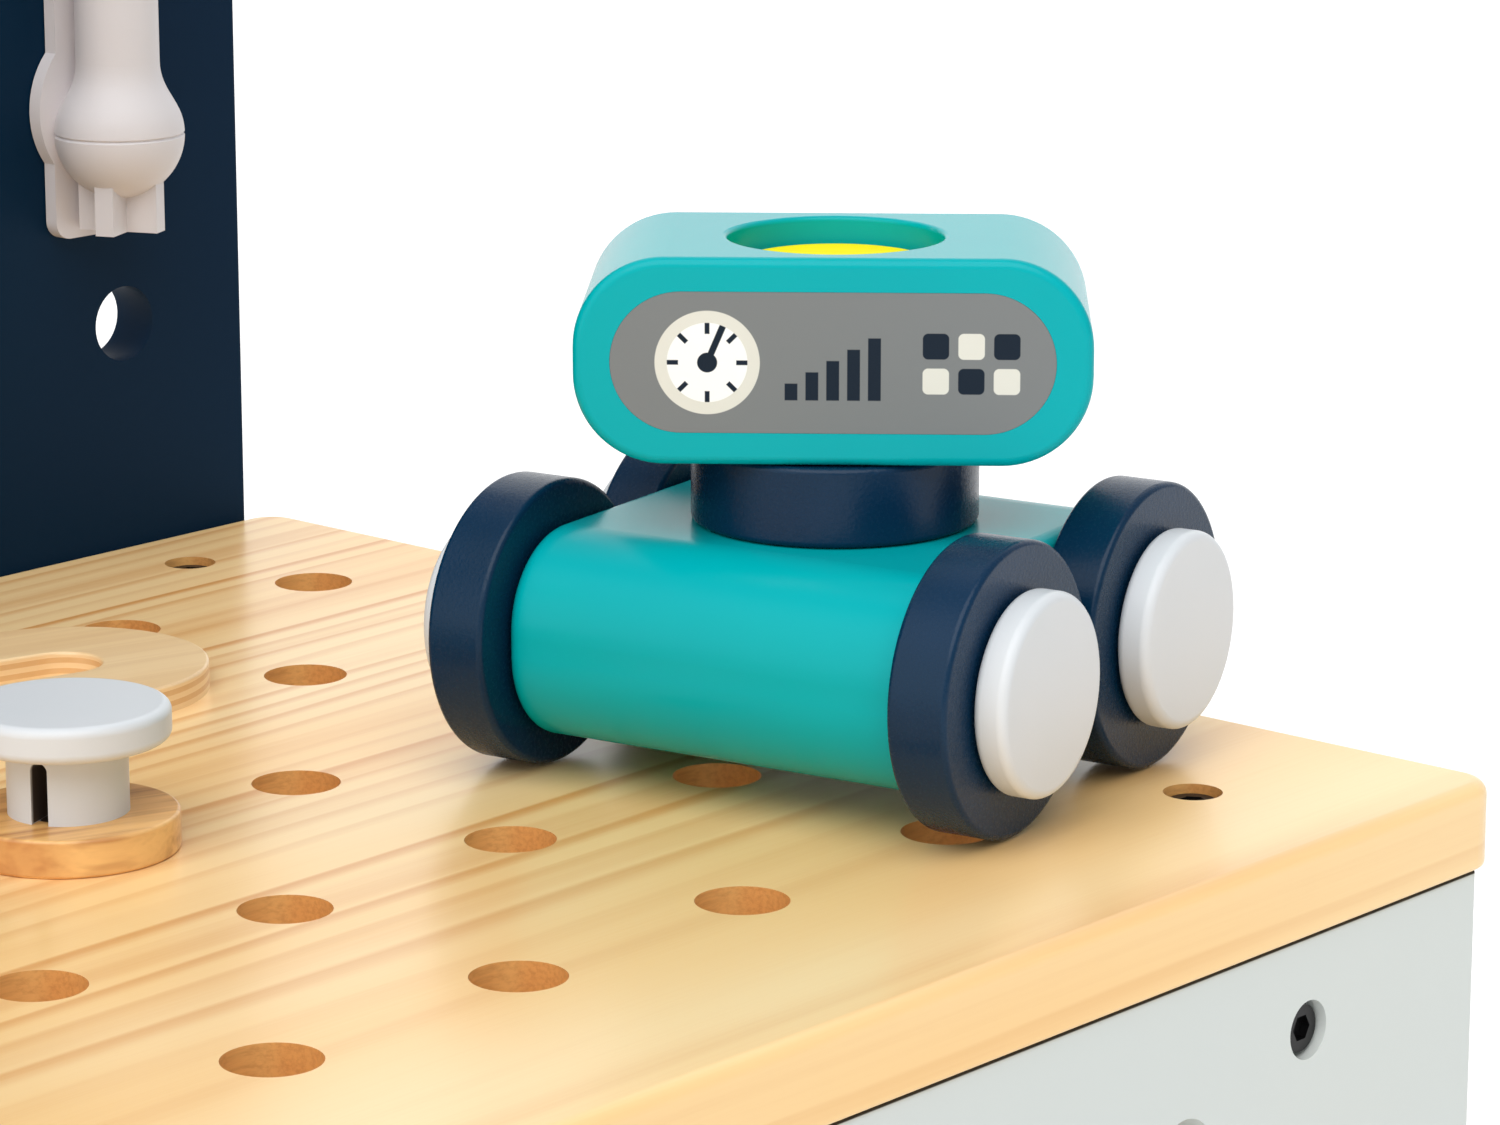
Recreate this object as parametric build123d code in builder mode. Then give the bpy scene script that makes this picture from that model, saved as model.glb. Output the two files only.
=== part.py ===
from build123d import *
import os

os.makedirs("parts", exist_ok=True)

# Peg lattice and worktop
hole_pitch = 50
hole_columns = 8
hole_rows = 5
peg_hole_diameter = 15
end_margin = 37
front_margin = 50
back_margin = 51
worktop_height = 420
worktop_thickness = 15
worktop_corner_radius = 7
worktop_top_round = 2.5
worktop_bottom_round = 1

# Front apron
apron_inset = 5.6
apron_setback = 1
apron_thickness = 12
apron_height = 60
apron_gap = 0.3
apron_edge_round = 1
apron_hole_drop = 30
apron_hole_from_end = 1

# Back panel
panel_inset = 7.2
panel_thickness = 10.5
panel_rise = 280
panel_drop = 75
panel_corner_radius = 22
panel_edge_round = 0.8
panel_hole_height = 45
panel_hole_inset = 31.6

# Legs, rails and shelf
leg_width = 40
leg_depth = 30
leg_inset = 27
leg_edge_round = 2
leg_foot_chamfer = 2
rail_thickness = 18
upper_rail_height = 60
lower_rail_height = 40
lower_rail_lift = 90
rail_edge_round = 1.5
shelf_thickness = 12
shelf_leg_gap = 0.3
shelf_corner_radius = 6
shelf_edge_round = 1

# Screws and bolts
screw_shank_diameter = 4
screw_head_diameter = 8
screw_head_height = 2.6
screw_socket_width = 4
screw_socket_depth = 1.6
screw_seat_diameter = 10
screw_seat_depth = 4
screw_clearance = 0.1
worktop_screw_length = 36
apron_screw_length = 28
panel_screw_length = 24
shelf_screw_length = 28
rail_bolt_length = 56
worktop_screw_offset = 5
worktop_front_screw_edge = 33.8
worktop_back_screw_edge = 21.1
apron_screw_offset = 6.8
apron_screw_drop = 16
panel_screw_drop = 30
panel_screw_spacing = 30
upper_bolt_lift = 15

# Pegs on the panel that tools hang from
tool_peg_count = 4
tool_peg_pitch = 108.5
tool_peg_diameter = 9
tool_peg_reach = 30
tool_peg_height = 241.6
tool_peg_tip_round = 2

# Driver that hangs on the last tool peg, measured up from the end of its bit
driver_standoff = 12
driver_hang_height = 175
driver_back_thickness = 3
driver_back_gap = 0.3
driver_eye_clearance = 0.3
driver_eye_radius = 10
driver_shaft_radius = 8.1
driver_bulb_radius = 12.6
driver_bulb_height = 19
driver_neck_height = 33
driver_seam_chamfer = 0.4
driver_fin_radius = 8.2
driver_fin_thickness = 3.8
driver_fin_angle = 24
driver_blade_drop = 2
driver_blade_half_width = 9.2
driver_blade_height = 13
driver_blade_round = 3.5
driver_back_bulge_height = 23
driver_back_neck_height = 34.5
driver_back_neck_round = 6
driver_grip_start = 84
driver_grip_gap = 19
driver_grip_radius = 14
driver_grip_end_radius = 11.5
driver_grip_end_round = 3

# Split pegs that join the building pieces
peg_cap_diameter = 33.7
peg_cap_thickness = 6
peg_cap_round = 1.6
peg_bearing_diameter = 19.6
peg_bearing_length = 11.8
peg_plug_length = 15
peg_plug_chamfer = 0.8
peg_bore_diameter = 9
peg_slit_width = 3
peg_slit_gap = 1.5
fit_clearance = 0.05
socket_end_gap = 1

# Robot
robot_column_offset = -30
robot_row_offset = 41.8
robot_heading = -79.8
robot_ground_gap = 0.3
wheel_diameter = 48.8
wheel_width = 10.8
wheel_edge_round = 1
wheel_base = 49.4
robot_body_width = 76
robot_body_length = 84.7
robot_body_height = 36
robot_body_lift = 6
robot_body_round = 16
robot_body_end_round = 2.5
neck_setback = 1
neck_diameter = 48.6
neck_height = 13.4
stack_gap = 0.2
head_heading = -50.6
head_width = 85.2
head_height = 34.5
head_depth = 46
head_corner_radius = 15
head_edge_round = 1.6
head_recess_diameter = 36.2
head_recess_round = 0.8
head_cap_drop = 4.2
visor_width = 73
visor_height = 23.5
visor_thickness = 0.8
visor_clearance = 0.05

# Loose pieces on the worktop
loose_peg_column = 4
loose_peg_row = 2
loose_peg_slit_angle = 21
disc_diameter = 35.8
disc_thickness = 6.3
disc_edge_round = 0.6
strip_column = 5
strip_row = 3
strip_column_offset = 14
strip_row_offset = 25.5
strip_angle = 166
strip_width = 53
strip_length = 160
strip_thickness = 5
strip_edge_round = 0.5

# Places that follow from the sizes
worktop_length = (hole_columns - 1) * hole_pitch + 2 * end_margin
worktop_depth = (hole_rows - 1) * hole_pitch + front_margin + back_margin
worktop_underside = worktop_height - worktop_thickness
front_edge_y = -(worktop_depth + panel_thickness) / 2
back_edge_y = front_edge_y + worktop_depth
panel_back_y = back_edge_y + panel_thickness
apron_front_y = front_edge_y + apron_setback
apron_top = worktop_underside - apron_gap
apron_length = worktop_length - 2 * apron_inset
panel_length = worktop_length - 2 * panel_inset
panel_height = panel_rise + worktop_thickness + panel_drop
panel_top = worktop_height + panel_rise
panel_hole_x = panel_length / 2 - panel_hole_inset
leg_x = worktop_length / 2 - leg_inset - leg_width / 2
front_leg_y = apron_front_y + apron_thickness
back_leg_y = back_edge_y - leg_depth
rail_x = leg_x - (leg_width - rail_thickness) / 2
rail_start_y = front_leg_y + leg_depth
rail_length = back_leg_y - rail_start_y
lower_rail_top = lower_rail_lift + lower_rail_height
shelf_top = lower_rail_top + shelf_thickness
shelf_length = 2 * rail_x + rail_thickness
upper_rail_lift = worktop_underside - upper_rail_height
tool_peg_first_x = -tool_peg_pitch * (tool_peg_count - 1) / 2
peg_hole_radius = peg_hole_diameter / 2
bearing_bore = peg_bearing_diameter + 2 * fit_clearance
socket_depth = peg_plug_length + socket_end_gap
hand_signs = {"left": -1, "right": 1}


def column_x(column):
    return (column - (hole_columns - 1) / 2) * hole_pitch


def row_y(row):
    return front_edge_y + front_margin + row * hole_pitch


def facing_front(x, y, z):
    return Plane(origin=(x, y, z), x_dir=(1, 0, 0), z_dir=(0, -1, 0))


def facing_back(x, y, z):
    return Plane(origin=(x, y, z), x_dir=(-1, 0, 0), z_dir=(0, 1, 0))


def facing_up(x, y, z, angle=0):
    return Plane(origin=(x, y, z), x_dir=Vector(1, 0, 0).rotate(Axis.Z, angle))


def within(frame, plane):
    return Plane(frame.location * plane.location)


def save(piece, name):
    piece.part.label = name
    export_step(piece.part, f"parts/{name}.step")


# Mouths of the screws and bolts: each plane lies on the surface that the screw enters and faces out of it
worktop_screw_rows = (front_edge_y + worktop_front_screw_edge, back_edge_y - worktop_back_screw_edge)
worktop_screw_mouths = [
    facing_up(sign * (leg_x + worktop_screw_offset), y, worktop_height)
    for sign in hand_signs.values()
    for y in worktop_screw_rows
]
apron_screw_mouths = [
    facing_front(sign * (leg_x - apron_screw_offset), apron_front_y, apron_top - apron_screw_drop)
    for sign in hand_signs.values()
]
panel_screw_top = worktop_underside - panel_screw_drop
panel_screw_mouths = [
    facing_back(sign * leg_x, panel_back_y, z)
    for sign in hand_signs.values()
    for z in (panel_screw_top, panel_screw_top - panel_screw_spacing)
]
shelf_screw_mouths = [
    facing_up(sign * rail_x, rail_start_y + share * rail_length, shelf_top)
    for sign in hand_signs.values()
    for share in (0.25, 0.75)
]
rail_bolt_heights = (lower_rail_lift + lower_rail_height / 2, upper_rail_lift + upper_bolt_lift)
front_bolt_mouths = [
    facing_front(sign * rail_x, front_leg_y, z)
    for sign in hand_signs.values()
    for z in rail_bolt_heights
]
back_bolt_mouths = [
    facing_back(sign * rail_x, back_edge_y, z)
    for sign in hand_signs.values()
    for z in rail_bolt_heights
]


def cut_seats(mouths):
    with Locations(*mouths):
        CounterBoreHole(
            screw_shank_diameter / 2 + screw_clearance,
            screw_seat_diameter / 2,
            screw_seat_depth,
        )


def cut_pilots(mouths, length):
    with Locations(*mouths):
        Hole(screw_shank_diameter / 2 + screw_clearance, screw_seat_depth + length + screw_clearance)


def make_screws(name, mouths, length):
    with BuildPart() as screws:
        for mouth in mouths:
            with BuildSketch(mouth.offset(-screw_seat_depth)):
                Circle(screw_head_diameter / 2)
            extrude(amount=screw_head_height)
            with BuildSketch(mouth.offset(screw_head_height - screw_seat_depth)):
                RegularPolygon(screw_socket_width / 2, 6, major_radius=False)
            extrude(amount=-screw_socket_depth, mode=Mode.SUBTRACT)
            with BuildSketch(mouth.offset(-screw_seat_depth)):
                Circle(screw_shank_diameter / 2)
            extrude(amount=-length)
    save(screws, name)


# Worktop: pine board with rounded rims and four screw seats; the peg lattice leaves out its two front
# corners, which lie over the front legs
peg_hole_mouths = [
    facing_up(column_x(column), row_y(row), worktop_height)
    for column in range(hole_columns)
    for row in range(hole_rows)
    if row > 0 or column not in (0, hole_columns - 1)
]
with BuildPart() as worktop:
    with BuildSketch(facing_up(0, (front_edge_y + back_edge_y) / 2, worktop_underside)):
        RectangleRounded(worktop_length, worktop_depth, worktop_corner_radius)
    extrude(amount=worktop_thickness)
    fillet(worktop.faces().sort_by(Axis.Z)[-1].edges(), worktop_top_round)
    fillet(worktop.faces().sort_by(Axis.Z)[0].edges(), worktop_bottom_round)
    with Locations(*peg_hole_mouths):
        Hole(peg_hole_radius)
    cut_seats(worktop_screw_mouths)
save(worktop, "worktop")
make_screws("worktop_screws", worktop_screw_mouths, worktop_screw_length)

# Front apron: board under the front edge, with a peg hole near each end
with BuildPart() as front_apron:
    with BuildSketch(facing_front(0, front_leg_y, apron_top - apron_height / 2)):
        Rectangle(apron_length, apron_height)
    extrude(amount=apron_thickness)
    fillet(front_apron.faces().sort_by(Axis.Y)[0].edges(), apron_edge_round)
    for column in (apron_hole_from_end, hole_columns - 1 - apron_hole_from_end):
        with Locations(facing_front(column_x(column), apron_front_y, apron_top - apron_hole_drop)):
            Hole(peg_hole_radius)
    cut_seats(apron_screw_mouths)
save(front_apron, "front_apron")
make_screws("apron_screws", apron_screw_mouths, apron_screw_length)

# Back panel: board that stands behind the worktop and the back legs, rounded at its top corners
tool_peg_places = [
    (tool_peg_first_x + step * tool_peg_pitch, worktop_height + tool_peg_height)
    for step in range(tool_peg_count)
]
with BuildPart() as back_panel:
    with BuildSketch(facing_front(0, panel_back_y, panel_top - panel_height / 2)) as panel_outline:
        Rectangle(panel_length, panel_height)
        fillet(panel_outline.vertices().group_by(Axis.Y)[-1], panel_corner_radius)
    extrude(amount=panel_thickness)
    fillet(back_panel.faces().sort_by(Axis.Y)[0].edges(), panel_edge_round)
    fillet(back_panel.faces().sort_by(Axis.Y)[-1].edges(), panel_edge_round)
    for sign in hand_signs.values():
        with Locations(facing_front(sign * panel_hole_x, back_edge_y, worktop_height + panel_hole_height)):
            Hole(peg_hole_radius)
    for x, z in tool_peg_places:
        with Locations(facing_front(x, back_edge_y, z)):
            Hole(tool_peg_diameter / 2 + screw_clearance)
    cut_seats(panel_screw_mouths)
save(back_panel, "back_panel")
make_screws("panel_screws", panel_screw_mouths, panel_screw_length)

# Dowels through the panel
with BuildPart() as tool_pegs:
    for x, z in tool_peg_places:
        with BuildSketch(facing_front(x, panel_back_y, z)):
            Circle(tool_peg_diameter / 2)
        extrude(amount=panel_thickness + tool_peg_reach)
    fillet(tool_pegs.edges().group_by(Axis.Y)[0], tool_peg_tip_round)
save(tool_pegs, "tool_pegs")

# Legs: square posts with eased edges, counterbored for the rail bolts
leg_rows = {
    "front": (front_leg_y, apron_screw_mouths, apron_screw_length, front_bolt_mouths),
    "back": (back_leg_y, panel_screw_mouths, panel_screw_length, back_bolt_mouths),
}
for row, (leg_y, board_mouths, board_screw_length, bolt_mouths) in leg_rows.items():
    for hand, sign in hand_signs.items():
        with BuildPart() as leg:
            with BuildSketch(facing_up(sign * leg_x, leg_y + leg_depth / 2, 0)):
                RectangleRounded(leg_width, leg_depth, leg_edge_round)
            extrude(amount=worktop_underside)
            chamfer(leg.faces().sort_by(Axis.Z)[0].edges(), leg_foot_chamfer)
            cut_pilots(worktop_screw_mouths, worktop_screw_length)
            cut_pilots(board_mouths, board_screw_length)
            cut_seats(bolt_mouths)
        save(leg, f"{row}_{hand}_leg")

# Side rails between the front and the back leg of each end
rail_levels = {
    "upper": (upper_rail_lift, upper_rail_height),
    "lower": (lower_rail_lift, lower_rail_height),
}
for level, (lift, height) in rail_levels.items():
    for hand, sign in hand_signs.items():
        with BuildPart() as rail:
            with BuildSketch(facing_back(sign * rail_x, rail_start_y, lift + height / 2)):
                Rectangle(rail_thickness, height)
            extrude(amount=rail_length)
            fillet(rail.edges().filter_by(Axis.Y), rail_edge_round)
            cut_pilots(front_bolt_mouths + back_bolt_mouths, rail_bolt_length)
            cut_pilots(shelf_screw_mouths, shelf_screw_length)
        save(rail, f"{hand}_{level}_rail")
make_screws("rail_bolts", front_bolt_mouths + back_bolt_mouths, rail_bolt_length)

# Lower shelf: board that lies on the lower rails, between the legs
with BuildPart() as lower_shelf:
    with BuildSketch(facing_up(0, rail_start_y + rail_length / 2, lower_rail_top)):
        RectangleRounded(shelf_length, rail_length - 2 * shelf_leg_gap, shelf_corner_radius)
    extrude(amount=shelf_thickness)
    fillet(lower_shelf.faces().sort_by(Axis.Z)[-1].edges(), shelf_edge_round)
    cut_seats(shelf_screw_mouths)
save(lower_shelf, "lower_shelf")
make_screws("shelf_screws", shelf_screw_mouths, shelf_screw_length)

# Driver: round shaft and bit in front, cut flat where they meet the back
driver_x, driver_eye_z = tool_peg_places[-1]
driver_frame = facing_up(driver_x, back_edge_y - driver_standoff, driver_eye_z - driver_hang_height)
driver_back_y = driver_standoff - driver_back_gap
driver_flat = within(driver_frame, Plane.XZ.offset(driver_back_thickness - driver_back_y))
driver_axis = Axis(driver_frame.origin, (0, 0, 1))
grip_end = driver_hang_height - driver_grip_gap

with BuildPart() as driver_shaft:
    with BuildSketch(within(driver_frame, Plane.XZ)):
        with BuildLine():
            Line((0, driver_bulb_height), (driver_bulb_radius, driver_bulb_height))
            Spline(
                (driver_bulb_radius, driver_bulb_height),
                (driver_shaft_radius, driver_neck_height),
                tangents=((0, 1), (0, 1)),
            )
            Polyline(
                (driver_shaft_radius, driver_neck_height),
                (driver_shaft_radius, driver_grip_start),
                (driver_grip_end_radius, driver_grip_start),
            )
            ThreePointArc(
                (driver_grip_end_radius, driver_grip_start),
                (driver_grip_radius, (driver_grip_start + grip_end) / 2),
                (driver_grip_end_radius, grip_end),
            )
            Polyline((driver_grip_end_radius, grip_end), (0, grip_end), (0, driver_bulb_height))
        make_face()
    revolve(axis=driver_axis)
    fillet(driver_shaft.edges().group_by(Axis.Z)[-1], driver_grip_end_round)
    chamfer(driver_shaft.edges().group_by(Axis.Z)[0], driver_seam_chamfer)
    split(bisect_by=driver_flat, keep=Keep.TOP)
save(driver_shaft, "driver_shaft")

# Bit: half ball with four fins
with BuildPart() as driver_bit:
    with BuildSketch(within(driver_frame, Plane.XZ)):
        with BuildLine():
            CenterArc((0, driver_bulb_height), driver_bulb_radius, -90, 90)
            Polyline(
                (driver_bulb_radius, driver_bulb_height),
                (0, driver_bulb_height),
                (0, driver_bulb_height - driver_bulb_radius),
            )
        make_face()
    revolve(axis=driver_axis)
    chamfer(driver_bit.edges().group_by(Axis.Z)[-1], driver_seam_chamfer)
    with BuildSketch(driver_frame):
        with PolarLocations(0, 2, start_angle=driver_fin_angle, angular_range=180):
            Rectangle(2 * driver_fin_radius, driver_fin_thickness)
    extrude(amount=driver_bulb_height - driver_seam_chamfer)
    split(bisect_by=driver_flat, keep=Keep.TOP)
save(driver_bit, "driver_bit")

# Back: flat moulding, wider than shaft and bit, with a blade at its foot and an eye at its top
with BuildPart() as driver_back:
    with BuildSketch(within(driver_frame, Plane.XZ.offset(-driver_back_y))) as back_outline:
        with BuildLine():
            Polyline(
                (0, -driver_blade_drop),
                (driver_blade_half_width, -driver_blade_drop),
                (driver_blade_half_width, driver_blade_height),
            )
            ThreePointArc(
                (driver_blade_half_width, driver_blade_height),
                (driver_bulb_radius, driver_back_bulge_height),
                (driver_shaft_radius, driver_back_neck_height),
            )
            Polyline(
                (driver_shaft_radius, driver_back_neck_height),
                (driver_shaft_radius, driver_hang_height),
                (0, driver_hang_height),
                (0, -driver_blade_drop),
            )
        make_face()
        mirror(about=Plane.YZ)
        outline_levels = back_outline.vertices().group_by(Axis.Y)
        fillet(outline_levels[0], driver_blade_round)
        fillet(outline_levels[2], driver_back_neck_round)
        with Locations((0, driver_hang_height)):
            Circle(driver_eye_radius)
            Circle(tool_peg_diameter / 2 + driver_eye_clearance, mode=Mode.SUBTRACT)
    extrude(amount=driver_back_thickness)
save(driver_back, "driver_back")


def make_disc(name, face, diameter, bore, thickness, edge_round):
    with BuildPart() as disc:
        with BuildSketch(face):
            Circle(diameter / 2)
            Circle(bore / 2, mode=Mode.SUBTRACT)
        extrude(amount=thickness)
        fillet(disc.edges().filter_by(GeomType.CIRCLE).group_by(SortBy.RADIUS)[-1], edge_round)
    save(disc, name)


def make_peg(name, shoulder, bearing_length):
    # cap, bearing for what turns on the peg, and plug, hollow and slit so that the plug springs;
    # the slit ends in an arch and runs out at the plug's end
    slit_top = bearing_length - peg_slit_gap
    slit_length = slit_top + peg_plug_length + peg_slit_width
    with BuildPart() as peg:
        with BuildSketch(shoulder.offset(-peg_plug_length)):
            Circle(peg_hole_radius - fit_clearance)
        extrude(amount=peg_plug_length)
        chamfer(peg.edges().sort_by(Axis(shoulder.origin, shoulder.z_dir))[0], peg_plug_chamfer)
        with BuildSketch(shoulder):
            Circle(peg_bearing_diameter / 2)
        extrude(amount=bearing_length)
        with BuildSketch(shoulder.offset(bearing_length)):
            Circle(peg_cap_diameter / 2)
        extrude(amount=peg_cap_thickness)
        fillet(peg.edges().filter_by(GeomType.CIRCLE).group_by(SortBy.RADIUS)[-1], peg_cap_round)
        with BuildSketch(shoulder.offset(-peg_plug_length)):
            Circle(peg_bore_diameter / 2)
        extrude(amount=peg_plug_length + slit_top, mode=Mode.SUBTRACT)
        with BuildSketch(Plane(shoulder.origin, x_dir=shoulder.z_dir, z_dir=shoulder.y_dir)):
            with Locations((slit_top - slit_length / 2, 0)):
                SlotOverall(slit_length, peg_slit_width)
        extrude(amount=peg_bearing_diameter, both=True, mode=Mode.SUBTRACT)
    save(peg, name)


# Robot: its own frame has x to its left, y to its rear and z up, with the wheels' lowest points at z 0
robot_frame = facing_up(
    column_x(hole_columns - 1) + robot_column_offset,
    row_y(0) + robot_row_offset,
    worktop_height + robot_ground_gap,
    robot_heading,
)
robot_body_top = robot_body_lift + robot_body_height
robot_side_axis = Axis(robot_frame.origin, robot_frame.x_dir)
axle_shoulders = {
    f"{end}_{hand}": within(
        robot_frame,
        Plane(
            origin=(side * robot_body_width / 2, place * wheel_base / 2, wheel_diameter / 2),
            x_dir=(0, side, 0),
            z_dir=(side, 0, 0),
        ),
    )
    for end, place in {"front": -1, "rear": 1}.items()
    for hand, side in {"left": 1, "right": -1}.items()
}
neck_shoulder = within(robot_frame, Plane((0, neck_setback, robot_body_top)))

with BuildPart() as robot_body:
    with BuildSketch(within(robot_frame, Plane.YZ.offset(-robot_body_width / 2))):
        with Locations((0, robot_body_lift + robot_body_height / 2)):
            RectangleRounded(robot_body_length, robot_body_height, robot_body_round)
    extrude(amount=robot_body_width)
    body_sides = robot_body.faces().sort_by(robot_side_axis)
    fillet(body_sides[0].edges() + body_sides[-1].edges(), robot_body_end_round)
    with Locations(neck_shoulder, *axle_shoulders.values()):
        Hole(peg_hole_radius, socket_depth)
save(robot_body, "robot_body")

wheel_play = (peg_bearing_length - wheel_width) / 2
for place, shoulder in axle_shoulders.items():
    make_peg(f"{place}_wheel_peg", shoulder, peg_bearing_length)
    make_disc(
        f"{place}_wheel",
        shoulder.offset(wheel_play),
        wheel_diameter,
        bearing_bore,
        wheel_width,
        wheel_edge_round,
    )

# Neck disc and head block stack on the body and turn on the head peg
make_disc(
    "robot_neck", neck_shoulder.offset(stack_gap), neck_diameter, bearing_bore, neck_height, wheel_edge_round
)
head_lift = robot_body_top + neck_height + 2 * stack_gap
head_frame = facing_up(
    neck_shoulder.origin.X,
    neck_shoulder.origin.Y,
    robot_frame.origin.Z + head_lift,
    head_heading,
)
head_recess_depth = head_cap_drop + peg_cap_thickness + stack_gap
head_front = within(head_frame, Plane.XZ.offset(head_depth / 2))
head_front_axis = Axis(head_frame.origin, head_front.z_dir)

with BuildPart() as robot_head:
    with BuildSketch(head_front):
        with Locations((0, head_height / 2)):
            RectangleRounded(head_width, head_height, head_corner_radius)
    extrude(amount=-head_depth)
    head_ends = robot_head.faces().sort_by(head_front_axis)
    fillet(head_ends[0].edges() + head_ends[-1].edges(), head_edge_round)
    with Locations(within(head_frame, Plane.XY.offset(head_height))):
        CounterBoreHole(bearing_bore / 2, head_recess_diameter / 2, head_recess_depth)
    fillet(robot_head.edges().filter_by(GeomType.CIRCLE).group_by(Axis.Z)[-1], head_recess_round)
    with BuildSketch(head_front):
        with Locations((0, head_height / 2)):
            SlotOverall(visor_width, visor_height)
    extrude(amount=-visor_thickness, mode=Mode.SUBTRACT)
save(robot_head, "robot_head")

with BuildPart() as head_visor:
    with BuildSketch(head_front):
        with Locations((0, head_height / 2)):
            SlotOverall(visor_width - 2 * visor_clearance, visor_height - 2 * visor_clearance)
    extrude(amount=-visor_thickness)
save(head_visor, "head_visor")

make_peg("head_peg", neck_shoulder, head_lift - robot_body_top + head_height - head_recess_depth + stack_gap)

# Loose peg in a hole of the lattice, with a wooden disc under its shoulder
loose_peg_x = column_x(loose_peg_column)
loose_peg_y = row_y(loose_peg_row)
make_peg(
    "loose_peg",
    facing_up(loose_peg_x, loose_peg_y, worktop_height + disc_thickness, loose_peg_slit_angle - 90),
    peg_bearing_length,
)
make_disc(
    "wooden_disc",
    facing_up(loose_peg_x, loose_peg_y, worktop_height),
    disc_diameter,
    peg_hole_diameter,
    disc_thickness,
    disc_edge_round,
)

# Slotted strip: its slot leaves the same rim all round
strip_frame = facing_up(
    column_x(strip_column) + strip_column_offset,
    row_y(strip_row) + strip_row_offset,
    worktop_height,
    strip_angle,
)
with BuildPart() as slotted_strip:
    with BuildSketch(strip_frame):
        with Locations(((strip_length - strip_width) / 2, 0)):
            SlotOverall(strip_length, strip_width)
            SlotOverall(strip_length - strip_width + peg_hole_diameter, peg_hole_diameter, mode=Mode.SUBTRACT)
    extrude(amount=strip_thickness)
    fillet(slotted_strip.faces().sort_by(Axis.Z)[-1].edges(), strip_edge_round)
save(slotted_strip, "slotted_strip")
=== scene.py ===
import math

import bpy
import numpy as np
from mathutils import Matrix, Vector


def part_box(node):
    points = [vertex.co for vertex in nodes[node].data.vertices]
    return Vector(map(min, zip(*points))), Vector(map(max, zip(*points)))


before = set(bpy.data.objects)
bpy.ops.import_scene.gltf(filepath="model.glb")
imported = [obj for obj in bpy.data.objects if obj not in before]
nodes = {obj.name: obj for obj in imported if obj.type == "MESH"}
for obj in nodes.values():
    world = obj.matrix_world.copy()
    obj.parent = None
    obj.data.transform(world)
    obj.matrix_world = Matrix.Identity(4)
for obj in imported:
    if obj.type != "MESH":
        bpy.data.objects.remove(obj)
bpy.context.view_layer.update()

scene = bpy.context.scene
scene.view_settings.view_transform = "Standard"


class Value:
    # a socket of a node tree: arithmetic on it adds Math nodes, make() adds any other node
    def __init__(self, tree, socket=None):
        self.tree = tree
        self.socket = socket

    def make(self, kind, inputs=(), pick=0, **settings):
        node = self.tree.nodes.new(kind)
        for key, setting in settings.items():
            setattr(node, key, setting)
        for key, entry in dict(inputs).items():
            if isinstance(entry, Value):
                self.tree.links.new(entry.socket, node.inputs[key])
            else:
                node.inputs[key].default_value = entry
        return Value(self.tree, node.outputs[pick])

    def maths(self, operation, *entries):
        return self.make("ShaderNodeMath", enumerate(entries), operation=operation)

    def __add__(self, other):
        return self.maths("ADD", self, other)

    def __radd__(self, other):
        return self.maths("ADD", other, self)

    def __sub__(self, other):
        return self.maths("SUBTRACT", self, other)

    def __rsub__(self, other):
        return self.maths("SUBTRACT", other, self)

    def __mul__(self, other):
        return self.maths("MULTIPLY", self, other)

    def __rmul__(self, other):
        return self.maths("MULTIPLY", other, self)

    def __truediv__(self, other):
        return self.maths("DIVIDE", self, other)

    def __pow__(self, other):
        return self.maths("POWER", self, other)

    def size(self):
        return self.maths("ABSOLUTE", self)

    def whole(self):
        return self.maths("FLOOR", self)

    def rest(self):
        return self.maths("FRACT", self)

    def rounded(self):
        return self.maths("ROUND", self)

    def least(self, other):
        return self.maths("MINIMUM", self, other)

    def most(self, other):
        return self.maths("MAXIMUM", self, other)

    # length of the vector that has this value and the other one as its parts
    def reach(self, other):
        return self.maths("SQRT", self * self + other * other)

    # distance to the nearest whole number, with its sign
    def nearest(self):
        return (self + 0.5).rest() - 0.5

    # atLow below low, atHigh above high, an eased ramp between them
    def ease(self, low, high, atLow=0.0, atHigh=1.0):
        ends = {1: low, 2: high, 3: atLow, 4: atHigh}
        return self.make("ShaderNodeMapRange", {0: self, **ends}, interpolation_type="SMOOTHSTEP")

    # 1 where this value is above the limit, with an edge as wide as soft to each side
    def above(self, limit, soft=0.00008):
        return self.ease(limit - soft, limit + soft)

    def below(self, limit, soft=0.00008):
        return 1 - self.above(limit, soft)

    # colour a where this value is 0, colour b where it is 1
    def blend(self, a, b):
        return self.make("ShaderNodeMix", {0: self, 6: a, 7: b}, pick=2, data_type="RGBA")

    # moved, turned and stretched coordinates
    def placed(self, location=(0, 0, 0), rotation=(0, 0, 0), scale=(1, 1, 1), kind="POINT"):
        return self.make(
            "ShaderNodeMapping", {0: self, 1: location, 2: rotation, 3: scale}, vector_type=kind
        )

    def axes(self):
        return [self.make("ShaderNodeSeparateXYZ", {0: self}, pick=k) for k in range(3)]

    def along(self, direction):
        inputs = {0: self, 1: direction}
        return self.make("ShaderNodeVectorMath", inputs, pick="Value", operation="DOT_PRODUCT")

    def noise(self, scale, detail, rough):
        return self.make("ShaderNodeTexNoise", {0: self, 2: scale, 3: detail, 4: rough})

    def chance(self):
        return self.make("ShaderNodeTexWhiteNoise", {1: self}, noise_dimensions="1D")


# a colour written as an 8-bit screen colour, made linear
def tone(colour):
    screen = np.array(colour) / 255
    linear = np.where(screen <= 0.04045, screen / 12.92, ((screen + 0.055) / 1.055) ** 2.4)
    return (*linear.tolist(), 1.0)


def objectPlace(material):
    return Value(material.node_tree).make("ShaderNodeTexCoord", pick="Object")


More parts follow.
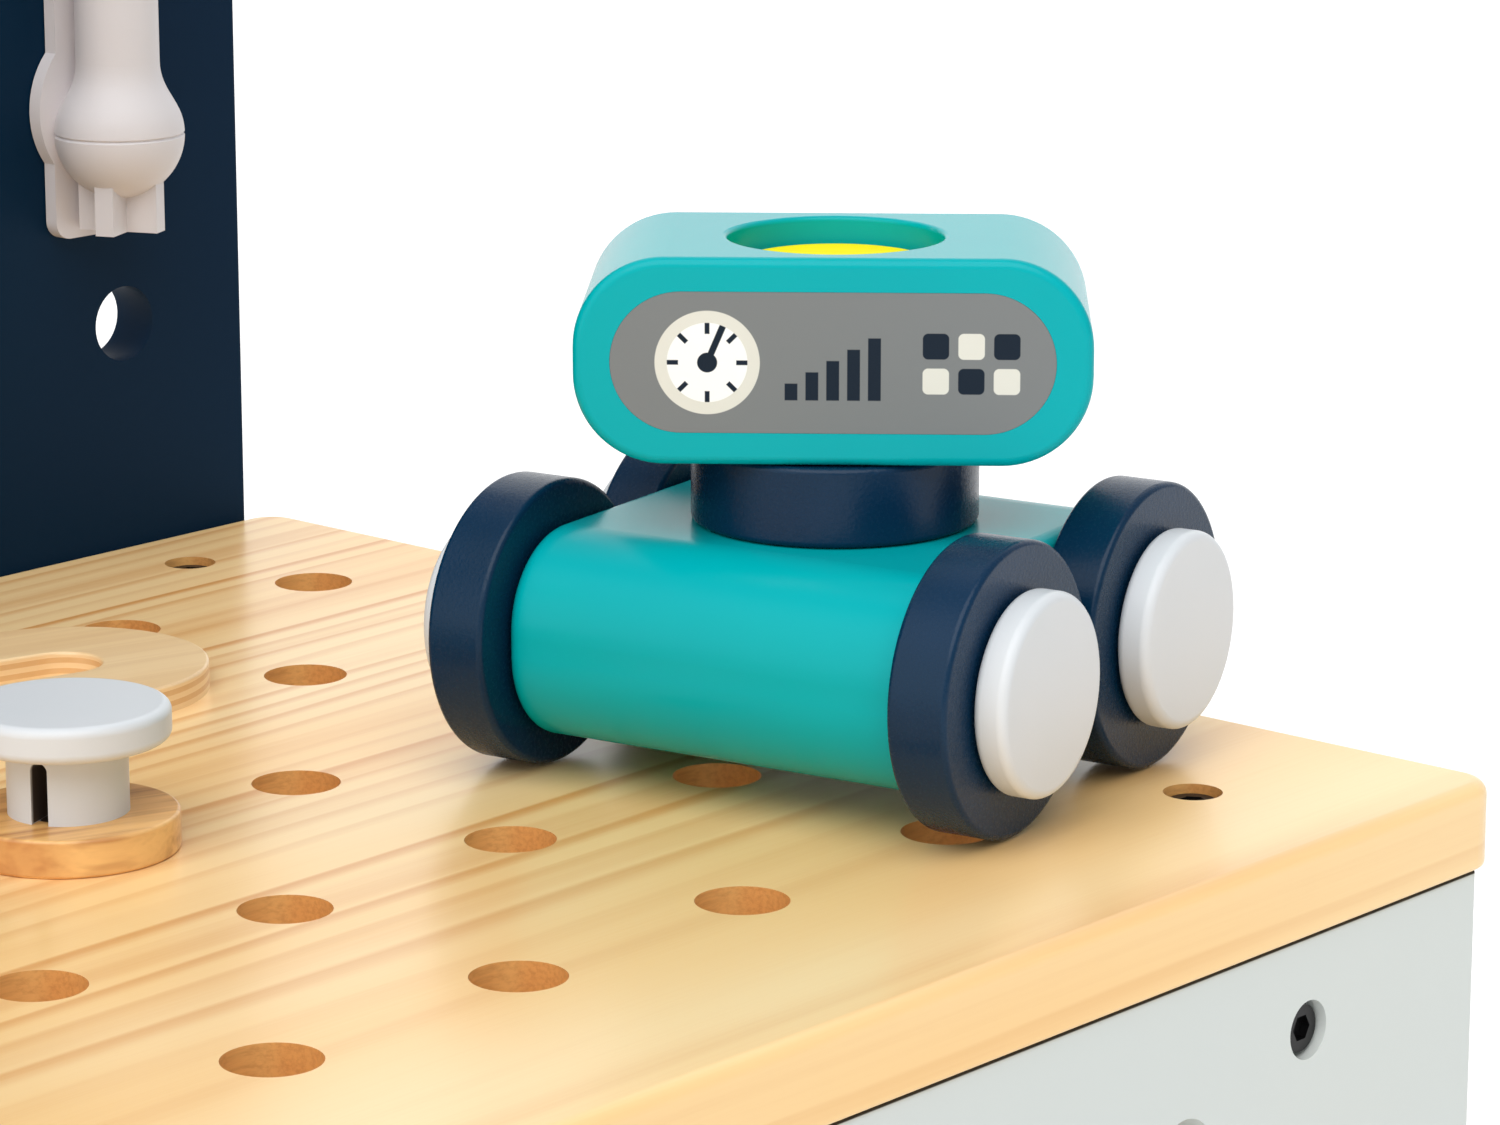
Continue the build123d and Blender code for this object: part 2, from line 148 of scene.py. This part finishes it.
# a material with its shader, and its Object coordinates as a Value
def newFinish(name, look):
    material = bpy.data.materials.new(name)
    material.use_nodes = True
    shader = material.node_tree.nodes["Principled BSDF"]
    shader.inputs["Roughness"].default_value = look["roughness"]
    shader.inputs["Specular IOR Level"].default_value = look["specular"]
    shader.inputs["Coat Weight"].default_value = look.get("coat", 0.0)
    shader.inputs["Coat Roughness"].default_value = look.get("coatRoughness", 0.1)
    return material, shader, objectPlace(material)


# a finished material's shader and the colour that feeds it, for another colour on top
def colourOf(material):
    shader = material.node_tree.nodes["Principled BSDF"]
    return shader, Value(material.node_tree, shader.inputs["Base Color"].links[0].from_socket)


def feed(shader, name, value):
    value.tree.links.new(value.socket, shader.inputs[name])


def bumped(shader, height, distance):
    inputs = {"Strength": 1.0, "Distance": distance, "Height": height}
    feed(shader, "Normal", height.make("ShaderNodeBump", inputs))


# parts of the surface's normal, and 1 on faces that stand upright
def facing(place):
    uprightLimits = (0.5, 0.8)
    parts = place.make("ShaderNodeNewGeometry", pick="Normal").axes()
    return parts, 1 - parts[2].size().ease(*uprightLimits)


# plain-sawn wood: growth rings about a pith that runs along one axis, each ring dark at its late side,
# with broad soft bands, fine fibres and darker end grain
def woodFinish(name, look):
    material, shader, place = newFinish(name, look)
    grainAxis = look["along"]
    turned = place.placed(rotation=(0, 0, math.radians(look.get("turn", 0))))
    parts = turned.axes()
    across, deep = [parts[k] for k in range(3) if k != grainAxis]

    def layer(kind, shift, detail, rough):
        scale = [1 / look[kind + "Across"]] * 3
        scale[grainAxis] = 1 / look[kind + "Along"]
        return turned.placed(location=(shift, shift, shift), scale=scale).noise(1.0, detail, rough)

    wave = layer("wave", shift=0.0, detail=2.0, rough=0.45) - 0.5
    band = layer("band", shift=3.0, detail=2.0, rough=0.5).ease(*look["bandLimits"])
    fibre = layer("fibre", shift=7.0, detail=3.0, rough=0.6)
    patch = layer("patch", shift=11.0, detail=1.0, rough=0.5).ease(*look["patchLimits"])
    fromPith = (across - look["pith"][0] - parts[grainAxis] * look["lean"]).reach(deep - look["pith"][1])
    ring = (fromPith + wave * look["waveDepth"]) / look["ringWidth"]
    late = ring.rest().ease(*look["lateRise"]) * (1 - ring.rest().ease(*look["lateFall"]))
    weight = ring.whole().chance() ** look["ringContrast"]
    figure = late * weight * look["ringDepth"] + band * look["bandDepth"]
    if "quiet" in look:
        figure = figure * (across.ease(*look["quiet"]) + across.ease(*look["edgeStreaks"]))
    streak = figure + (fibre - 0.5) * look["fibreDepth"]
    ground = patch.blend(tone(look["pale"]), tone(look["warm"]))
    colour = streak.most(0.0).least(1.0).blend(ground, tone(look["dark"]))

    normal, upright = facing(place)
    endGrain = normal[grainAxis].size().ease(*look["endLimits"])
    colour = (endGrain * look["endShare"]).blend(colour, tone(look["end"]))
    if "bores" in look:
        bores = look["bores"]
        inLength = parts[0].size().below(bores["reach"][0])
        inWidth = (parts[1] - bores["middle"]).size().below(bores["reach"][1])
        bare = endGrain.blend(tone(bores["side"]), tone(bores["end"]))
        fibreShare = fibre.ease(*bores["fibreLimits"]) * bores["fibreDepth"]
        bare = fibreShare.blend(bare, tone(bores["fibre"]))
        colour = (upright * inLength * inWidth).blend(colour, bare)
    feed(shader, "Base Color", colour)
    feed(shader, "Roughness", look["roughness"] + (fibre - 0.5) * look["unevenness"])
    bumped(shader, fibre, look["relief"])
    return material


# paint or moulded plastic: one colour with a faint orange-peel relief
def paintFinish(name, look):
    material, shader, place = newFinish(name, look)
    grain = place.noise(look["grain"], detail=3.0, rough=0.6)
    cloud = place.noise(look["cloud"], detail=2.0, rough=0.5).ease(*look["cloudLimits"])
    feed(shader, "Base Color", cloud.blend(tone(look["colour"]), tone(look["second"])))
    feed(shader, "Roughness", look["roughness"] + (grain - 0.5) * look["unevenness"])
    bumped(shader, grain, look["relief"])
    return material


def dress(material, *names):
    for name in names:
        piece = nodes[name]
        piece.data.materials.clear()
        piece.data.materials.append(material)


pine = {
    "pale": (253, 220, 164), "warm": (251, 207, 140), "dark": (212, 134, 42), "end": (200, 138, 74),
    "endLimits": (0.55, 0.9), "endShare": 0.7, "roughness": 0.32, "unevenness": 0.1, "specular": 0.5,
    "coat": 0.35, "coatRoughness": 0.18, "relief": 0.00002,
    "fibreAcross": 0.0007, "fibreAlong": 0.04, "fibreDepth": 0.16,
    "bandAcross": 0.009, "bandAlong": 0.45, "bandLimits": (0.42, 0.75), "bandDepth": 0.35,
    "patchAcross": 0.05, "patchAlong": 0.3, "patchLimits": (0.3, 0.7),
    "waveAcross": 0.045, "waveAlong": 0.4, "waveDepth": 0.014,
    "ringContrast": 1.1, "ringDepth": 0.85, "lateRise": (0.2, 0.84), "lateFall": (0.86, 1.0),
}
# the worktop is quiet towards its front, and its peg holes have bare walls
pineWorktop = woodFinish("pineWorktop", {
    **pine, "along": 0, "pith": (-0.135, 0.345), "lean": 0.02, "ringWidth": 0.0058, "lateRise": (0.38, 0.84),
    "coat": 0.2, "specular": 0.4, "quiet": (-0.12, -0.03, 0.15, 1.0),
    "edgeStreaks": (-0.149, -0.141, 0.45, 0.0),
    "bores": {
        "reach": (0.2, 0.142), "middle": -0.005, "side": (230, 176, 106), "end": (222, 160, 92),
        "fibre": (166, 102, 50), "fibreLimits": (0.35, 0.75), "fibreDepth": 0.35,
    },
})
dress(pineWorktop, "worktop")
pineShelf = woodFinish("pineShelf", {
    **pine, "along": 0, "pith": (0.04, 0.06), "lean": -0.02, "ringWidth": 0.009, "roughness": 0.4,
    "coat": 0.2,
})
dress(pineShelf, "lower_shelf")
pineLegs = woodFinish("pineLegs", {
    **pine, "along": 2, "pith": (0.02, -0.03), "lean": 0.01, "ringWidth": 0.007, "roughness": 0.4,
    "coat": 0.2,
})
dress(pineLegs, "front_left_leg", "front_right_leg", "back_left_leg", "back_right_leg")
dowelWood = woodFinish("dowelWood", {
    **pine, "along": 1, "pith": (0.3, 0.2), "lean": 0.0, "ringWidth": 0.004, "ringDepth": 0.3,
    "bandDepth": 0.2, "pale": (240, 208, 160), "warm": (232, 192, 140), "dark": (190, 130, 76),
    "coat": 0.1, "roughness": 0.45,
})
dress(dowelWood, "tool_pegs")
discWood = woodFinish("discWood", {
    **pine, "along": 0, "turn": 20, "pith": (0.3, 0.1), "lean": 0.0, "ringWidth": 0.005, "ringDepth": 0.4,
    "waveDepth": 0.006, "waveAlong": 0.06, "waveAcross": 0.012, "bandAcross": 0.003, "bandAlong": 0.03,
    "bandDepth": 0.6, "fibreDepth": 0.35, "pale": (246, 198, 128), "warm": (242, 182, 106),
    "dark": (166, 96, 42), "end": (206, 142, 78), "coat": 0.15, "roughness": 0.42,
})
dress(discWood, "wooden_disc")
print("solid wood finishes made")


# plywood: pale face veneer, and plies that show as thin bands on the edge
def plyFinish(name, look):
    material = woodFinish(name, look["veneer"])
    shader, veneer = colourOf(material)
    place = objectPlace(material)
    upright = facing(place)[1]
    level = (place.axes()[2] - look["bottom"]) / (2 * look["ply"])
    speckle = place.noise(look["speckle"], detail=2.0, rough=0.6) * look["speckleDepth"]
    dark = level.rest().ease(*look["plyLimits"]) * (1 - look["speckleDepth"] + speckle)
    plies = dark.blend(tone(look["plyPale"]), tone(look["plyDark"]))
    feed(shader, "Base Color", upright.blend(veneer, plies))
    return material


stripWood = plyFinish("stripWood", {
    "veneer": {
        **pine, "along": 0, "turn": -166, "pith": (0.5, 0.2), "lean": 0.02, "ringWidth": 0.012,
        "ringDepth": 0.2, "bandAcross": 0.004, "bandAlong": 0.1, "bandDepth": 0.25, "fibreDepth": 0.2,
        "pale": (250, 222, 176), "warm": (244, 208, 154), "dark": (206, 152, 92), "endShare": 0.0,
        "coat": 0.15, "roughness": 0.42,
    },
    "bottom": 0.42, "ply": 0.001, "plyLimits": (0.45, 0.55), "plyPale": (250, 218, 168),
    "plyDark": (226, 180, 122), "speckle": 260.0, "speckleDepth": 0.4,
})
dress(stripWood, "slotted_strip")
print("plywood finish made")

satin = {
    "roughness": 0.3, "unevenness": 0.05, "specular": 0.2, "grain": 1800.0, "cloud": 9.0,
    "cloudLimits": (0.3, 0.7), "relief": 0.00001,
}
navyPanel = paintFinish("navyPanel", {
    **satin, "colour": (8, 36, 60), "second": (6, 37, 60), "roughness": 0.45, "specular": 0.06,
})
dress(navyPanel, "back_panel")
palePaint = {**satin, "colour": (214, 219, 215), "second": (213, 219, 216), "roughness": 0.5}
paleApron = paintFinish("paleApron", palePaint)
dress(paleApron, "left_upper_rail", "right_upper_rail", "left_lower_rail", "right_lower_rail")


# a dark line along the upper edge, which stands for the shadow in the gap under the worktop
def edgeFinish(name, look):
    material = paintFinish(name, look["paint"])
    shader, face = colourOf(material)
    height = objectPlace(material).axes()[2]
    line = height.ease(look["foot"], look["foot"] + look["soft"])
    feed(shader, "Base Color", line.blend(face, tone(look["line"])))
    return material


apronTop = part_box("front_apron")[1][2]
lineHeight = 0.0006
apronPaint = edgeFinish("apronPaint", {
    "paint": palePaint, "foot": apronTop - lineHeight, "soft": 0.0002, "line": (58, 54, 48),
})
dress(apronPaint, "front_apron")
turquoise = paintFinish("turquoise", {
    **satin, "colour": (0, 170, 176), "second": (0, 168, 175), "specular": 0.14, "roughness": 0.22,
    "grain": 2400.0, "cloud": 30.0,
})
dress(turquoise, "robot_body", "robot_head")
navyWheels = paintFinish("navyWheels", {
    **satin, "colour": (6, 42, 68), "second": (8, 45, 74), "roughness": 0.26, "unevenness": 0.24,
    "specular": 0.22, "grain": 1500.0, "cloud": 40.0, "relief": 0.00005,
})
wheelPlaces = ["front_left", "front_right", "rear_left", "rear_right"]
dress(navyWheels, "robot_neck", *[place + "_wheel" for place in wheelPlaces])
greyPaint = {
    **satin, "colour": (217, 221, 225), "second": (215, 220, 224), "roughness": 0.36, "specular": 0.35,
    "cloud": 40.0,
}
greyPegs = paintFinish("greyPegs", greyPaint)
dress(greyPegs, *[place + "_wheel_peg" for place in wheelPlaces])


# a split peg with painted shade in its slit, standing in for the shadow deep in it: within the stem's radius
# under the cap, and the plug's below it
def shadedSlitFinish(name, look):
    material = paintFinish(name, look["paint"])
    shader, outside = colourOf(material)
    x, y, z = objectPlace(material).axes()
    reach = (x - look["axis"][0]).reach(y - look["axis"][1])
    underStem = z.below(look["stemFoot"])
    stem = reach.below(look["stemRadius"], look["stemSoft"]) * z.below(look["stemTop"]) * (1 - underStem)
    plug = reach.below(look["plugRadius"], look["plugSoft"]) * underStem
    # painted shade: the slit's walls and the plug under it take the dark shade colour
    feed(shader, "Base Color", stem.most(plug).blend(outside, tone(look["slitShade"])))
    return material


pegLow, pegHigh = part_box("loose_peg")
# the stem begins and ends at these depths under the cap's top
capDepth = 0.0066
footDepth = 0.0177
# the loose peg, with painted shade in its slit
standingPeg = shadedSlitFinish("standingPeg", {
    "paint": greyPaint, "axis": ((pegLow[0] + pegHigh[0]) / 2, (pegLow[1] + pegHigh[1]) / 2),
    "stemRadius": 0.0093, "stemSoft": 0.0004, "stemTop": pegHigh[2] - capDepth,
    "stemFoot": pegHigh[2] - footDepth, "plugRadius": 0.0068, "plugSoft": 0.0003, "slitShade": (74, 66, 60),
})
dress(standingPeg, "loose_peg")
yellowPeg = paintFinish("yellowPeg", {
    **satin, "colour": (255, 240, 0), "second": (254, 237, 0), "roughness": 0.5, "specular": 0.05,
    "cloud": 40.0,
})
dress(yellowPeg, "head_peg")
greyTool = paintFinish("greyTool", {
    **satin, "colour": (220, 215, 216), "second": (217, 212, 214), "roughness": 0.45, "specular": 0.3,
    "cloud": 30.0,
})
dress(greyTool, "driver_shaft", "driver_bit", "driver_back")
blackScrews = paintFinish("blackScrews", {
    **satin, "colour": (14, 14, 15), "second": (11, 11, 12), "roughness": 0.35, "specular": 0.3,
    "cloud": 90.0,
})
dress(blackScrews, "worktop_screws", "apron_screws", "panel_screws", "rail_bolts", "shelf_screws")
print("paint and plastic finishes made")

# print on the visor: a round gauge, a row of level bars and a block of keys, in the visor's own axes
visorLook = {
    "roughness": 0.45, "specular": 0.2, "centre": (0.145984, -0.063773, 0.49335), "heading": -50.6,
    "grey": (124, 128, 129), "navy": (13, 30, 46), "white": (246, 248, 247), "cream": (222, 222, 212),
    "gauge": (-0.0205, 0.0), "gaugeRadius": 0.0086, "dialRadius": 0.0066, "tickCount": 8,
    "tickWidth": 0.0008, "tickFoot": 0.72, "needleTurn": 67, "needleWidth": 0.0011, "hubRadius": 0.00165,
    "barsAside": 2, "barPitch": 0.0034, "barWidth": 0.0021, "barFoot": -0.0062, "barRise": 0.0019,
    "barFirst": 0.0028, "keysAt": (0.0226, 0.0), "keysAside": 1, "keyPitch": 0.0058, "keySize": 0.0043,
    "keyRound": 0.0009, "endSoft": 0.0001, "countSoft": 0.01,
}


def visorFinish(name, look):
    material, shader, place = newFinish(name, look)
    local = place.placed(look["centre"], (0, 0, math.radians(look["heading"])), kind="TEXTURE").axes()
    x, z = local[0], local[2]
    navy = tone(look["navy"])

    # gauge: cream rim, white dial with ticks round it, navy needle from its middle
    dx = x - look["gauge"][0]
    dz = z - look["gauge"][1]
    reach = dx.reach(dz)
    rim = reach.below(look["gaugeRadius"])
    dial = reach.below(look["dialRadius"])
    tickStep = 2 * math.pi / look["tickCount"]
    tickOff = (dz.maths("ARCTAN2", dz, dx) / tickStep).nearest().size() * reach * tickStep
    tick = tickOff.below(look["tickWidth"] / 2) * dial * reach.above(look["dialRadius"] * look["tickFoot"])
    needleTurn = math.radians(look["needleTurn"])
    ahead = dx * math.cos(needleTurn) + dz * math.sin(needleTurn)
    aside = (dz * math.cos(needleTurn) - dx * math.sin(needleTurn)).size()
    needle = aside.below(look["needleWidth"] / 2) * ahead.above(0.0, look["endSoft"]) * dial
    hub = reach.below(look["hubRadius"])
    colour = rim.blend(tone(look["grey"]), tone(look["cream"]))
    colour = dial.blend(colour, tone(look["white"]))
    colour = tick.most(needle).most(hub).blend(colour, navy)

    # level bars: each one step taller than the bar on its left
    step = (x / look["barPitch"]).rounded()
    inRow = step.size().below(look["barsAside"] + 0.5, look["countSoft"])
    barSide = (x - step * look["barPitch"]).size().below(look["barWidth"] / 2)
    barTop = (step + look["barsAside"]) * look["barRise"] + look["barFoot"] + look["barFirst"]
    barUp = z.above(look["barFoot"], look["endSoft"]) * (barTop - z).above(0.0, look["endSoft"])
    colour = (inRow * barSide * barUp).blend(colour, navy)

    # keys: three columns of two rounded squares, cream and navy by turns
    keyX = (x - look["keysAt"][0]) / look["keyPitch"]
    keyZ = (z - look["keysAt"][1]) / look["keyPitch"]
    column = keyX.rounded()
    row = keyZ.whole()
    inColumns = column.size().below(look["keysAside"] + 0.5, look["countSoft"])
    inRows = (row + 0.5).size().below(1.0, look["countSoft"])
    half = look["keySize"] / 2 - look["keyRound"]
    outX = (((keyX - column) * look["keyPitch"]).size() - half).most(0.0)
    outZ = (((keyZ - row - 0.5) * look["keyPitch"]).size() - half).most(0.0)
    keyFace = outX.reach(outZ).below(look["keyRound"]) * inColumns * inRows
    odd = ((column + row) * 0.5).rest().above(0.25, look["countSoft"])
    colour = keyFace.blend(colour, odd.blend(tone(look["cream"]), navy))
    feed(shader, "Base Color", colour)
    return material


dress(visorFinish("visorPrint", visorLook), "head_visor")
print("visor print made")

floorLook = {"half": 20.0, "colour": (250, 250, 250), "lift": 0.06, "roughness": 0.9, "specular": 0.0}
floorHalf = floorLook["half"]
floorSigns = [(-1, -1), (1, -1), (1, 1), (-1, 1)]
floorCorners = [(signX * floorHalf, signY * floorHalf, 0) for signX, signY in floorSigns]
floorMesh = bpy.data.meshes.new("floor")
floorMesh.from_pydata(floorCorners, [], [(0, 1, 2, 3)])
floor = bpy.data.objects.new("floor", floorMesh)
scene.collection.objects.link(floor)
floorFinish, floorShader, floorPlace = newFinish("paleFloor", floorLook)
floorShader.inputs["Base Color"].default_value = tone(floorLook["colour"])
floorShader.inputs["Emission Strength"].default_value = 1.0
# the lift shows in the picture and in reflections, and lights nothing
floorSeen = [
    floorPlace.make("ShaderNodeLightPath", pick="Is %s Ray" % kind)
    for kind in ("Camera", "Glossy", "Transmission")
]
floorShown = floorSeen[0].most(floorSeen[1]).most(floorSeen[2])
feed(floorShader, "Emission Color", floorShown * floorLook["lift"])
floorMesh.materials.append(floorFinish)

# studio room: a plain level all round, a bright rear wall, a large soft light on the left
# and a weak one in front
roomLook = {
    "level": 0.37,
    "lights": [
        {"from": (0.72, 0.63, 0.29), "limits": (0.4, 0.95), "glow": 0.9},
        {"from": (-0.88, 0.3, 0.36), "limits": (0.6, 0.97), "glow": 1.0},
        {"from": (-0.7, -0.56, 0.45), "limits": (0.55, 0.98), "glow": 0.2},
    ],
}
world = bpy.data.worlds.new("studio")
scene.world = world
world.use_nodes = True
background = world.node_tree.nodes["Background"]
background.inputs["Strength"].default_value = 1.0
towards = Value(world.node_tree).make("ShaderNodeTexCoord", pick="Generated")
glows = [towards.along(light["from"]).ease(*light["limits"]) * light["glow"] for light in roomLook["lights"]]
feed(background, "Color", sum(glows, roomLook["level"]))

keyLook = {"energy": 1.85, "angle": 60, "from": (-0.42, -0.33, 0.86)}
keyLamp = bpy.data.lights.new("key", "SUN")
keyLamp.energy = keyLook["energy"]
keyLamp.angle = math.radians(keyLook["angle"])
key = bpy.data.objects.new("key", keyLamp)
fromX, fromY, fromZ = keyLook["from"]
key.rotation_euler = (math.atan2(math.hypot(fromX, fromY), fromZ), 0, math.atan2(fromX, -fromY))
scene.collection.objects.link(key)

cameraView = {
    "place": (-0.4947, -0.61025, 0.6578), "heading": 48.61, "pitch": 13.06, "lens": 122.93, "sensor": 36,
    "shift": (-0.0027, -0.0310), "clip": (0.01, 100),
}
lens = bpy.data.cameras.new("camera")
lens.sensor_width = cameraView["sensor"]
lens.lens = cameraView["lens"]
lens.shift_x, lens.shift_y = cameraView["shift"]
lens.clip_start, lens.clip_end = cameraView["clip"]
camera = bpy.data.objects.new("camera", lens)
camera.location = cameraView["place"]
camera.rotation_euler = (
    math.radians(90 - cameraView["pitch"]), 0, -math.radians(cameraView["heading"])
)
scene.collection.objects.link(camera)
scene.camera = camera
print("stage, light and camera set")
